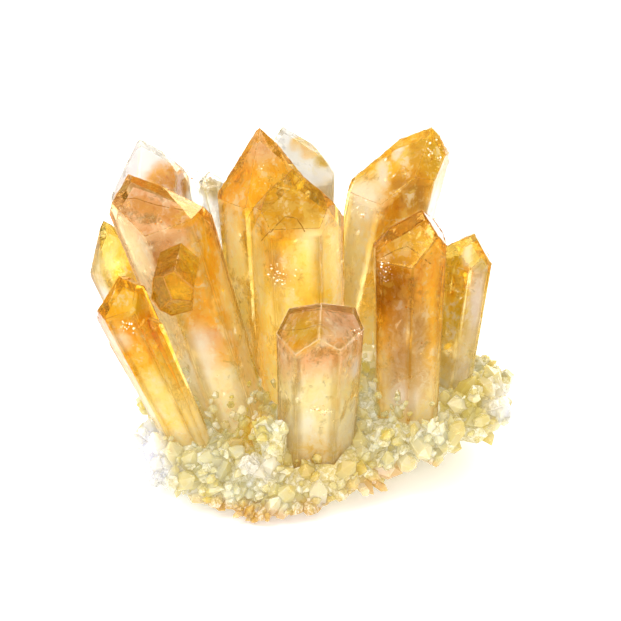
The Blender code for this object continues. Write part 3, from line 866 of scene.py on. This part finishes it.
# Clusters of bubbles and painted glints: centre, half-sizes in millimetres, and how many.
SPECKS = (
    ((12.6, -11.6, 46.2), (1.6, 0.8, 2.2), 46), ((16.5, -12.4, 39.5), (1.0, 0.6, 1.2), 18),
    ((-7.9, -8.6, 43.9), (2.2, 0.8, 2.6), 60), ((-0.5, -26.6, 23.1), (2.2, 0.8, 1.0), 40),
    ((21.2, -8.4, 52.4), (1.4, 1.0, 3.4), 60), ((18.0, -12.0, 33.0), (2.6, 0.8, 5.0), 40),
    ((6.0, -22.5, 37.5), (1.4, 1.0, 1.8), 30), ((-36.6, -27.6, 41.0), (1.2, 0.8, 1.2), 24),
    ((-30.0, -14.6, 56.4), (3.6, 1.0, 0.8), 40), ((-10.5, 2.0, 60.0), (3.0, 1.0, 3.0), 30),
    ((22.5, 15.0, 60.5), (2.6, 1.4, 3.4), 60), ((8.0, 11.0, 50.5), (2.2, 1.2, 3.0), 40),
    ((-24.0, 26.0, 51.5), (2.2, 1.2, 1.0), 40), ((-12.0, -0.8, 17.5), (1.4, 1.4, 2.6), 40),
)


def phantom_material(name):
    """An earlier point inside a crystal: dark along its edges, torn and fading below."""
    g = Graph(name)
    where = g.place(1.5, 0.4)
    torn = g.span(g.noise(where, 0.35, 6.0, 0.7), 0.4, 0.6)
    rim = g.attribute("rim")
    line = g.times(rim, g.span(torn, 0.0, 1.0, 0.3, 0.9))
    body = g.times(g.attribute("cap"), g.span(torn, 0.0, 1.0, 0.0, 0.5))
    g.give("Alpha", g.math("MAXIMUM", line, body))
    colour = g.mix(rim, g.mix(torn, AMBER, ORANGE), BURNT)
    g.give("Base Color", g.lighten(colour, 0.7))
    g.give("Roughness", 0.6)
    g.give("Specular IOR Level", 0.0)
    return g.material


def speck_material():
    """Bubbles and flecks, from dark to bright; the bright ones are painted glints, and all of them
    glow a little with painted light.
    """
    g = Graph("specks")
    grain = g.attribute("grain")
    colour = g.ramp(grain, ((0.0, BURNT), (0.25, AMBER), (0.3, WHITE), (1.0, CREAM)))
    g.give("Base Color", colour)
    # Painted light: the specks glow, the bright ones as painted glints.
    g.emit(colour, 0.35)
    g.give("Roughness", g.span(grain, 0.0, 1.0, 0.1, 0.5))
    return g.material


def specks():
    """Clusters of tiny bubbles and flecks just inside the crystals, the bright flecks painted
    glints.
    """
    chance = random.Random(12)
    flecks = Loose("specks")
    corners = product((0, 1), (2, 3), (4, 5))
    faces = [face if sum(face) % 2 else face[::-1] for face in corners]
    for centre, radii, count in SPECKS:
        for _ in range(count):
            spot = Vector(middle + half * chance.gauss(0, 0.5)
                          for middle, half in zip(centre, radii)) * MM
            size = chance.choice(SPECK_SIZES) * MM
            verts = []
            for axis, sign in product(range(3), (-1, 1)):
                verts.append(spot.copy())
                verts[-1][axis] += sign * size * chance.uniform(0.6, 1.4)
            flecks.add(verts, faces, grain=chance.random())
    flecks.piece(speck_material(), "golden_quartz")


def rounded(place):
    """A place to the nearest 0.01 mm, to sort places by in the same order every run."""
    return [round(part, 5) for part in place]


def cap_edges(point):
    """The edges of a point's cap, as pairs of places."""
    bm = quartz_point(point)
    up = above_foot(point)
    found = [sorted((vert.co.copy() for vert in edge.verts), key=rounded) for edge in bm.edges]
    bm.free()
    found.sort(key=lambda ends: [rounded(place) for place in ends])
    return [ends for ends in found
            if min(map(up, ends)) > CAP_ABOVE and not runs_along(point, ends)]


def seam_material():
    """Thin torn lines, dark or pale, where the faces of a cap meet; the pale ones are painted
    highlights.
    """
    g = Graph("seam")
    shade = g.attribute("grain")
    torn = g.noise(g.place(), 0.5, 4.0, 0.7)
    g.give("Base Color", g.ramp(shade, ((0.0, BURNT), (0.5, AMBER), (1.0, WHITE))))
    whole = g.span(shade, 0.05, 0.0, 0.0, 0.8)
    g.give("Alpha", g.math("MAXIMUM", g.span(torn, 0.4, 0.52, 0.0, 0.9), whole))
    g.give("Roughness", 0.4)
    return g.material


def add_thread(lines, start, end, shade, thick):
    """A three-sided thread that wanders a little from start to end."""
    steps = max(2, int((end - start).length / (0.6 * MM)))
    right, back = around(end - start)
    verts, faces = [], []
    for step in range(steps + 1):
        place = start.lerp(end, step / steps)
        place += noise.noise_vector(place / (1.3 * MM)) * 0.12 * MM
        width = thick * MM * (0.7 + 0.6 * noise.noise(place / (0.9 * MM)))
        first = len(verts)
        for turn in range(3):
            angle = math.tau * turn / 3
            verts.append(place + (right * math.cos(angle) + back * math.sin(angle)) * width)
            after = (turn + 1) % 3
            if step:
                faces.append((first - 3 + turn, first - 3 + after, first + after, first + turn))
    lines.add(verts, faces, grain=shade)


def seams():
    """Lines along the caps of some crystals, and along growth marks under their skins."""
    noise.seed_set(1)  # noise_vector strays with the clock where no seed is set
    lines = Loose("seams")
    for key, shade, thick in SEAMS:
        for start, end in cap_edges(POINTS[key]):
            add_thread(lines, start, end, shade, thick)
    for shade, thick, *places in MARKS:
        for start, end in zip(places, places[1:]):
            add_thread(lines, Vector(start) * MM, Vector(end) * MM, shade, thick)
    lines.piece(seam_material(), "amber_quartz")


# Caps with drawn edges: the point, how pale its lines are, and half their width in mm; a pale line
# is a painted highlight along the cap's edges.
SEAMS = (("centre_front", 0.1, 0.11), ("right_front", 0.06, 0.15), ("left_dark", 0.0, 0.2),
         ("left_main", 0.35, 0.09), ("front", 0.75, 0.06), ("lower_left", 0.4, 0.09),
         ("right_back", 0.3, 0.09), ("centre_back", 0.35, 0.09), ("far_right", 0.4, 0.09))
# Marks of earlier growth: how pale each is, half its width in mm, and the places on it.
MARKS = (
    (0.05, 0.17, (11.7, -10.1, 48.2), (14.0, -10.2, 49.5), (16.3, -10.6, 50.6),
     (18.5, -12.4, 49.7), (20.7, -12.0, 47.6)),
    (0.1, 0.17, (-11.8, -4.6, 49.6), (-9.6, -7.5, 52.9), (-7.2, -5.9, 55.0),
     (-4.9, -6.3, 54.7), (-3.4, -7.5, 52.5)),
    (0.3, 0.14, (-38.7, -12.9, 60.9), (-35.6, -12.8, 61.1), (-31.0, -13.9, 60.0),
     (-25.4, -13.9, 58.8)),
    (0.3, 0.12, (-7.0, -22.1, 37.7), (-3.6, -24.8, 39.2), (-0.2, -26.1, 40.5)),
)

specks()
seams()
VEIL = veil_material()
for key, count in VEILS.items():
    veils(key, count, VEIL)

for key, lower in PHANTOMS.items():
    cloud_body("phantom_" + key, POINTS[key], phantom_material("phantom_" + key),
               -3.2, lower, 0.5, ridges=True)

for key, point in POINTS.items():
    look = LOOKS.get(key, PLAIN_LOOK)
    inset = INSET.get(key, -1.0 if point.across > 9 else -0.7)
    cloud_body("milk_" + key, point, cloud("milk_" + key, point, look), inset,
               LOWERED.get(key, 1.0))


# ---------------------------------------------------------------- the druse

def druse_colour(g, where):
    """Colour in the druse: milky white to yellow, golden right of the middle, hazy white at
    the left end, brown along its lower edge."""
    broad = g.noise(where, 0.1, 4.0, 0.65)
    colour = g.ramp(broad, (
        (0.0, WHITE), (0.36, MILK), (0.5, STRAW), (0.6, LEMON), (0.75, HONEYED)))
    for centre, radii, patch, strength in DRUSE_PATCHES:
        mask = g.times(g.blob(where, centre, radii, 0.6), strength)
        colour = g.mix(mask, colour, patch)
    # Dimmed all over to make up for the druse's painted glow.
    return g.mix(1.0, colour, DIMMED, "MULTIPLY")


def druse_rock():
    """The milky mass that the small crystals grow from."""
    g = Graph("druse")
    where = g.place(2.5, 0.3)
    plain = g.place()
    colour = druse_colour(g, where)
    fine = g.noise(where, 0.9, 5.0, 0.7)
    colour = g.mix(g.span(fine, 0.45, 0.65, 0.0, 0.4), colour, WHITE)
    g.give("Base Color", colour)
    # Painted light: the druse glows to lighten the shade in its creases.
    g.emit(colour, DRUSE_PAINTED_GLOW)
    g.give("Roughness", g.span(fine, 0.3, 0.7, 0.15, 0.5))
    g.give("Transmission Weight", 0.1)
    g.give("IOR", IOR_QUARTZ)
    facets = g.node("ShaderNodeTexVoronoi", {"Vector": plain, "Scale": 1.1})
    normal = g.bump(facets.outputs["Distance"], 0.0006, 0.7)
    g.give("Normal", g.bump(g.noise(plain, 2.0, 4.0, 0.6), 0.0003, 0.5, normal))
    return g.material


def druse_grains():
    """The small crystals, each a little different in colour."""
    g = Graph("druse_grains")
    where = g.place(2.5, 0.3)
    grain = g.attribute("grain")
    colour = druse_colour(g, where)
    colour = g.mix(g.span(grain, 0.4, 0.0, 0.0, 0.25), colour, WHITE)
    colour = g.mix(g.span(grain, 0.7, 1.0, 0.0, 0.4), colour, PALE, "MULTIPLY")
    g.give("Base Color", colour)
    # Painted light: the grains glow to lighten the shade between them.
    g.emit(colour, DRUSE_PAINTED_GLOW)
    g.give("Subsurface Weight", 1.0)
    g.give("Subsurface Radius", (0.004, 0.0034, 0.002))
    g.give("Subsurface Scale", 1.0)
    g.give("Roughness", g.span(g.noise(where, 0.8, 3.0), 0.4, 0.7, 0.03, 0.3))
    g.give("Transmission Weight", 0.3)
    g.give("IOR", IOR_QUARTZ)
    g.give("Normal", g.bump(g.noise(g.place(), 1.2, 3.0), 0.0002, 0.4))
    return g.material


def add_grain(grains, chance, place, along, across, length):
    """One small point: place is where it stands, in metres, and sizes are in millimetres."""
    along = along.normalized()
    right, back = around(along)
    turn = chance.uniform(0, math.tau)
    radius = across * MM / 2
    cap = radius * chance.uniform(0.9, 1.5)
    shade = chance.random()
    squeeze = chance.uniform(0.75, 1.0)
    lift = [chance.uniform(-0.3, 0.3) * radius for _ in range(SIDES)]
    verts, faces = [], []
    for ring, (height, width) in enumerate(((0.0, 0.85), (length * MM - cap, 1.0))):
        for side in range(SIDES):
            angle = turn + side * math.tau / SIDES
            flat = right * math.cos(angle) + back * math.sin(angle) * squeeze
            rise = height + (lift[side] if ring else 0.0)
            verts.append(place + flat * radius * width + along * rise)
    verts.append(place + along * length * MM)
    for side in range(SIDES):
        after = (side + 1) % SIDES
        faces += [(side, after, SIDES + after, SIDES + side),
                  (SIDES + side, SIDES + after, 2 * SIDES)]
    faces.append(tuple(reversed(range(SIDES))))
    grains.add(verts, faces, grain=shade)


def spread(node, number, seed, wanted):
    """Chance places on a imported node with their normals, even over its area, kept where
    wanted(place in mm, normal, chance) is true."""
    mesh = frame["nodes"][node].data
    chance = random.Random(seed)
    corners, totals, total = [], [], 0.0
    for face in mesh.polygons:
        points = [mesh.vertices[index].co for index in face.vertices]
        for second, third in zip(points[1:], points[2:]):
            side, other = second - points[0], third - points[0]
            total += side.cross(other).length
            corners.append((points[0], side, other, face.normal))
            totals.append(total)
    found = []
    for _ in range(number * 12):
        if len(found) >= number:
            break
        start, side, other, normal = corners[bisect(totals, chance.random() * total)]
        u, v = chance.random(), chance.random()
        if u + v > 1:
            u, v = 1 - u, 1 - v
        place = start + side * u + other * v
        if wanted(place / MM, normal, chance):
            found.append((place.copy(), normal.copy()))
    return found


# What the small crystals must stay clear of.
TALL_TREES = {name: BVHTree.FromBMesh(node_surface(name)) for name in NODE_POINT}


def clear_of_tall(place, away):
    """True where a place is outside every tall crystal by at least away millimetres."""
    for tree in TALL_TREES.values():
        hit, normal, _, far = tree.find_nearest(place, (away + 6) * MM)
        if hit is not None and ((place - hit).dot(normal) < 0 or far < away * MM):
            return False
    return True


def lean(normal, chance, up, stray):
    """A direction near a surface's normal, raised and straying by chance."""
    wander = chance_vector(lambda: chance.uniform(-stray, stray))
    return (normal + Vector((0, 0, up)) + wander).normalized()


def on_crust(place, normal, chance):
    """Places for small crystals on the druse: not underneath."""
    return place.z > 0.8 and normal.z > -0.75 and clear_of_tall(place * MM, 0.2)


def add_crust(grains, chance):
    """Small crystals all over the druse, fine ones and coarser ones."""
    for place, normal in spread("druse_base", 2600, 11, on_crust):
        coarse = chance.random() < 0.3
        across = chance.uniform(2.2, 4.4) if coarse else chance.uniform(1.0, 2.2)
        length = across * chance.uniform(0.9, 1.7)
        along = lean(normal, chance, 0.35, 0.75)
        if place.z < 5.5 * MM and normal.z < 0.2:
            across = chance.uniform(1.0, 2.2)
            length = across * chance.uniform(1.4, 2.3)
            along = lean(normal, chance, -0.1, 0.35)
        if place.z / MM + along.z * length < 0.4:
            continue
        tip = place + along * length * MM
        if clear_of_tall(tip, 0.1) and inside_box(tip):
            add_grain(grains, chance, place - along * SUNK * across * MM, along, across, length)


def inside_box(place):
    """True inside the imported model's box."""
    low, high = CAD_BOX
    return all(low[axis] < place[axis] < high[axis] for axis in range(3))


def add_climbers(grains, chance):
    """Small crystals that climb the feet of the tall ones, fewer and smaller higher up."""
    for number, (node, (top, count)) in enumerate(CLIMB.items()):
        def wanted(place, normal, chance):
            share = (place.z - CLIMB_FROM) / (top - CLIMB_FROM)
            return 0 < share < 1 and chance.random() > share ** 0.7 and abs(normal.z) < 0.7
        for place, normal in spread(node, count, 30 + number, wanted):
            share = max(0.0, (place.z / MM - CLIMB_FROM) / (top - CLIMB_FROM))
            across = chance.uniform(0.8, 2.6) * (1.15 - 0.6 * share)
            length = across * chance.uniform(1.0, 1.9)
            along = lean(normal * 0.7, chance, 0.75, 0.5)
            add_grain(grains, chance, place - normal * SUNK * across * MM, along, across, length)


# Painted light: how strongly the druse glows, to lighten the shade in the creases between its
# small crystals.
DRUSE_PAINTED_GLOW = 0.32
# How much of a small crystal's width is sunk, and from what height in mm they climb.
SUNK, CLIMB_FROM = 0.35, 6
# DIMMED darkens the druse's colours all over to make up for its painted glow.
DIMMED = (0.63, 0.63, 0.70)
MILK = (0.74, 0.70, 0.42)
STRAW = (0.75, 0.64, 0.26)
LEMON = (0.76, 0.60, 0.13)
HONEYED = (0.68, 0.38, 0.07)
# Patches on the druse: centre, half-sizes, colour and strength.
DRUSE_PATCHES = (
    ((-37, -19, 9), (8, 8, 9), ICE, 0.9),
    ((-23, -21, 16), (7, 6, 6), MILK, 0.7),
    ((-13, -28, 12), (4, 4, 4), ICE, 0.45),
    ((2, -27, 7), (8, 5, 4), STRAW, 0.7),
    ((-0.5, -25, 11), (8, 6, 4), (0.72, 0.55, 0.16), 0.9),
    ((30, -4, 15), (8, 8, 4), LEMON, 0.9),
    ((37, -4, 15), (4, 5, 4), ICE, 0.6),
    ((21, -17, 12), (7, 5, 4), MILK, 0.6),
    ((-10, -28, 2), (18, 6, 2.4), HONEYED, 0.9),
    ((18, -20, 5), (14, 8, 3), (0.80, 0.52, 0.20), 0.9),
    ((-12, -14, 12), (3, 4, 5), GOLD, 0.8),
)
# How high small crystals climb each tall one, and how many.
CLIMB = {
    "left_crystals": (27, 380), "front_crystal": (16, 60), "lower_left_crystals": (18, 80),
    "right_front_crystal": (22, 90), "far_right_crystal": (21, 80),
    "centre_crystals": (20, 100), "far_left_crystal": (17, 60),
    "right_back_crystal": (22, 100), "back_left_crystal": (20, 80),
    "back_centre_crystal": (22, 90), "back_small_crystals": (20, 50),
    "rear_left_crystal": (15, 60), "rear_centre_crystal": (15, 80),
    "rear_right_crystal": (15, 60), "rear_far_left_crystal": (12, 40),
}

bm = node_surface("druse_base")
bmesh.ops.triangulate(bm, faces=bm.faces)
base = finish_piece("druse_surface", bm, druse_rock())
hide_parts("druse_base")

grains, chance = Loose("druse_grains"), random.Random(5)
add_crust(grains, chance)
add_climbers(grains, chance)
grains.piece(druse_grains(), "milky_druse")


# ---------------------------------------------------------------- stage

def stage():
    """A plain pale floor."""
    mesh = bpy.data.meshes.new("floor")
    mesh.from_pydata([(-3, -3, 0), (3, -3, 0), (3, 3, 0), (-3, 3, 0)], [], [(0, 1, 2, 3)])
    floor = add_object("floor", mesh)
    g = Graph("floor")
    tone = g.noise(g.place(), 0.01, 2.0)
    g.give("Base Color", g.ramp(tone, ((0, (0.93,) * 3), (1, (0.95,) * 3))))
    g.give("Roughness", 0.9)
    g.give("Specular IOR Level", 0.1)
    g.emit((1, 1, 1, 1), 0.25)
    mesh.materials.append(g.material)


def area_light(name, place, target, size, power, colour=(1, 1, 1)):
    lamp = bpy.data.lights.new(name, "AREA")
    lamp.shape = "RECTANGLE"
    lamp.size, lamp.size_y = size
    lamp.energy = power
    lamp.color = colour
    made = add_object(name, lamp)
    made.location = place
    made.rotation_euler = (Vector(target) - Vector(place)).to_track_quat("-Z", "Y").to_euler()


def world():
    """Soft light from all sides, dimmer towards and below the horizon."""
    made = bpy.data.worlds.new("studio")
    bpy.context.scene.world = made
    made.use_nodes = True
    tree = made.node_tree
    background = tree.nodes["Background"]
    coordinates = tree.nodes.new("ShaderNodeTexCoord")
    split = tree.nodes.new("ShaderNodeSeparateXYZ")
    tree.links.new(coordinates.outputs["Generated"], split.inputs[0])
    ramp = tree.nodes.new("ShaderNodeValToRGB")
    for element, (place, grey) in zip(ramp.color_ramp.elements, ((0.1, 0.6), (0.75, 1))):
        element.position = place
        element.color = (grey, grey, grey, 1)
    tree.links.new(split.outputs["Z"], ramp.inputs[0])
    tree.links.new(ramp.outputs[0], background.inputs["Color"])
    background.inputs["Strength"].default_value = 1.3


def camera():
    """The photograph's view."""
    data = bpy.data.cameras.new("camera")
    data.sensor_width = SENSOR
    data.lens = SENSOR * FOCAL_PIXELS / PHOTO_PIXELS
    made = add_object("camera", data)
    target = Vector(LOOKED_AT) * MM
    tilt = math.radians(CAMERA_TILT)
    made.location = target + Vector((0, -math.cos(tilt), math.sin(tilt))) * CAMERA_FAR
    made.rotation_euler = (target - made.location).to_track_quat("-Z", "Y").to_euler()
    data.clip_start, data.clip_end = 0.01, 10
    bpy.context.scene.camera = made


stage()
world()
camera()
area_light("key", (-0.35, -0.35, 0.6), (0, 0, 0.03), (0.35, 0.35), 2.0)
area_light("front", (-0.08, -0.75, 0.3), (0, 0, 0.02), (0.5, 0.35), 3.0)
area_light("back", (0.25, 0.5, 0.45), (0, 0, 0.03), (0.4, 0.4), 3.0, (1.0, 0.98, 0.95))

scene = bpy.context.scene
scene.view_settings.view_transform = "Standard"
scene.cycles.max_bounces = 10
scene.cycles.transmission_bounces = 9
scene.cycles.transparent_max_bounces = 12
scene.cycles.diffuse_bounces = 3

bpy.context.view_layer.update()
